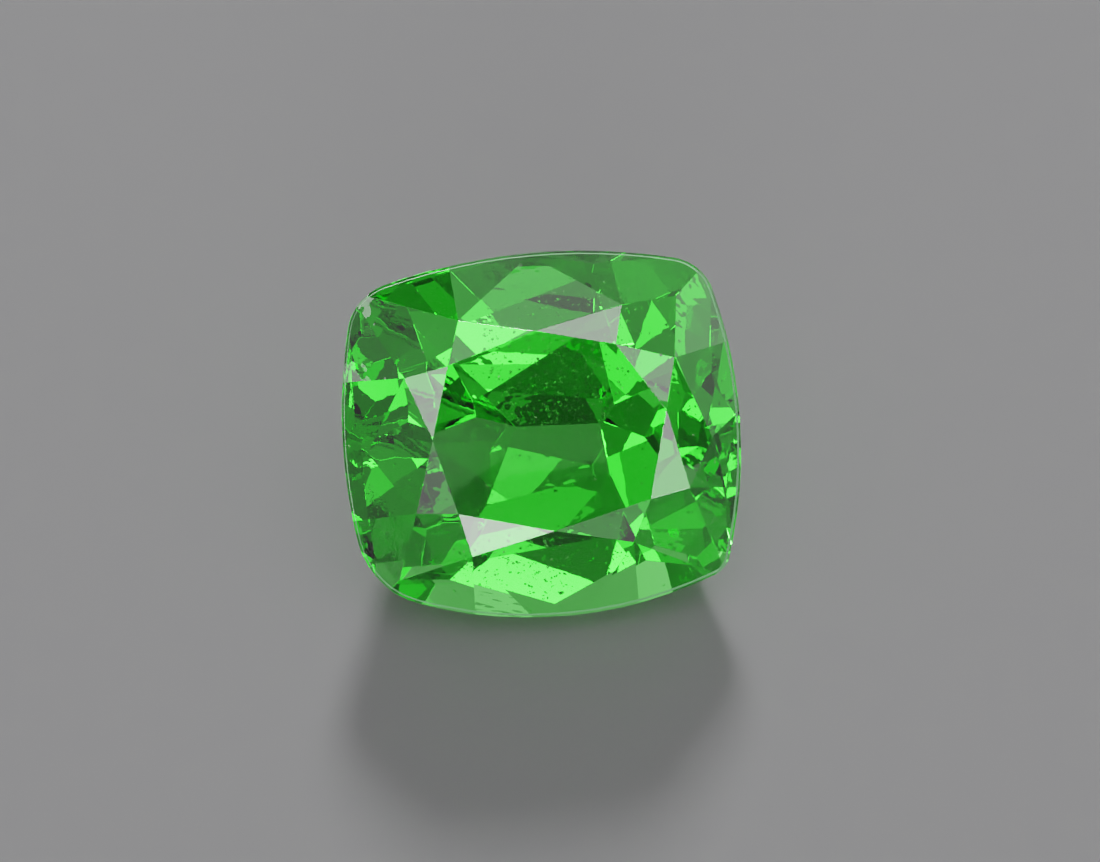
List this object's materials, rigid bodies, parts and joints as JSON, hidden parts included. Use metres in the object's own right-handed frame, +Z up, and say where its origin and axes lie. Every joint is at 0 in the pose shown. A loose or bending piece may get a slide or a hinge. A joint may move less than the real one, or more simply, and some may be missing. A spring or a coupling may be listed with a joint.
{
  "type": "faceted gemstone",
  "caption": "Loose cushion-cut tsavorite garnet with a brilliant crown over a stepped pavilion, a clear green stone to be set in jewellery or shown loose.",
  "frame": {"origin": "under the middle of the stone's bounding box, on the flat surface that it lies on", "axes": "+X along the stone's length, to the right when the table faces the viewer; +Z up, away from the surface it lies on; -Y is the side that the table leans toward, so the table faces forward and up"},
  "size_m": [0.0066, 0.0048, 0.0045],
  "materials": {
    "grossular_garnet": "polished"
  },
  "bodies": {
    "root": {"tsavorite": "grossular_garnet"}
  },
  "joints": []
}
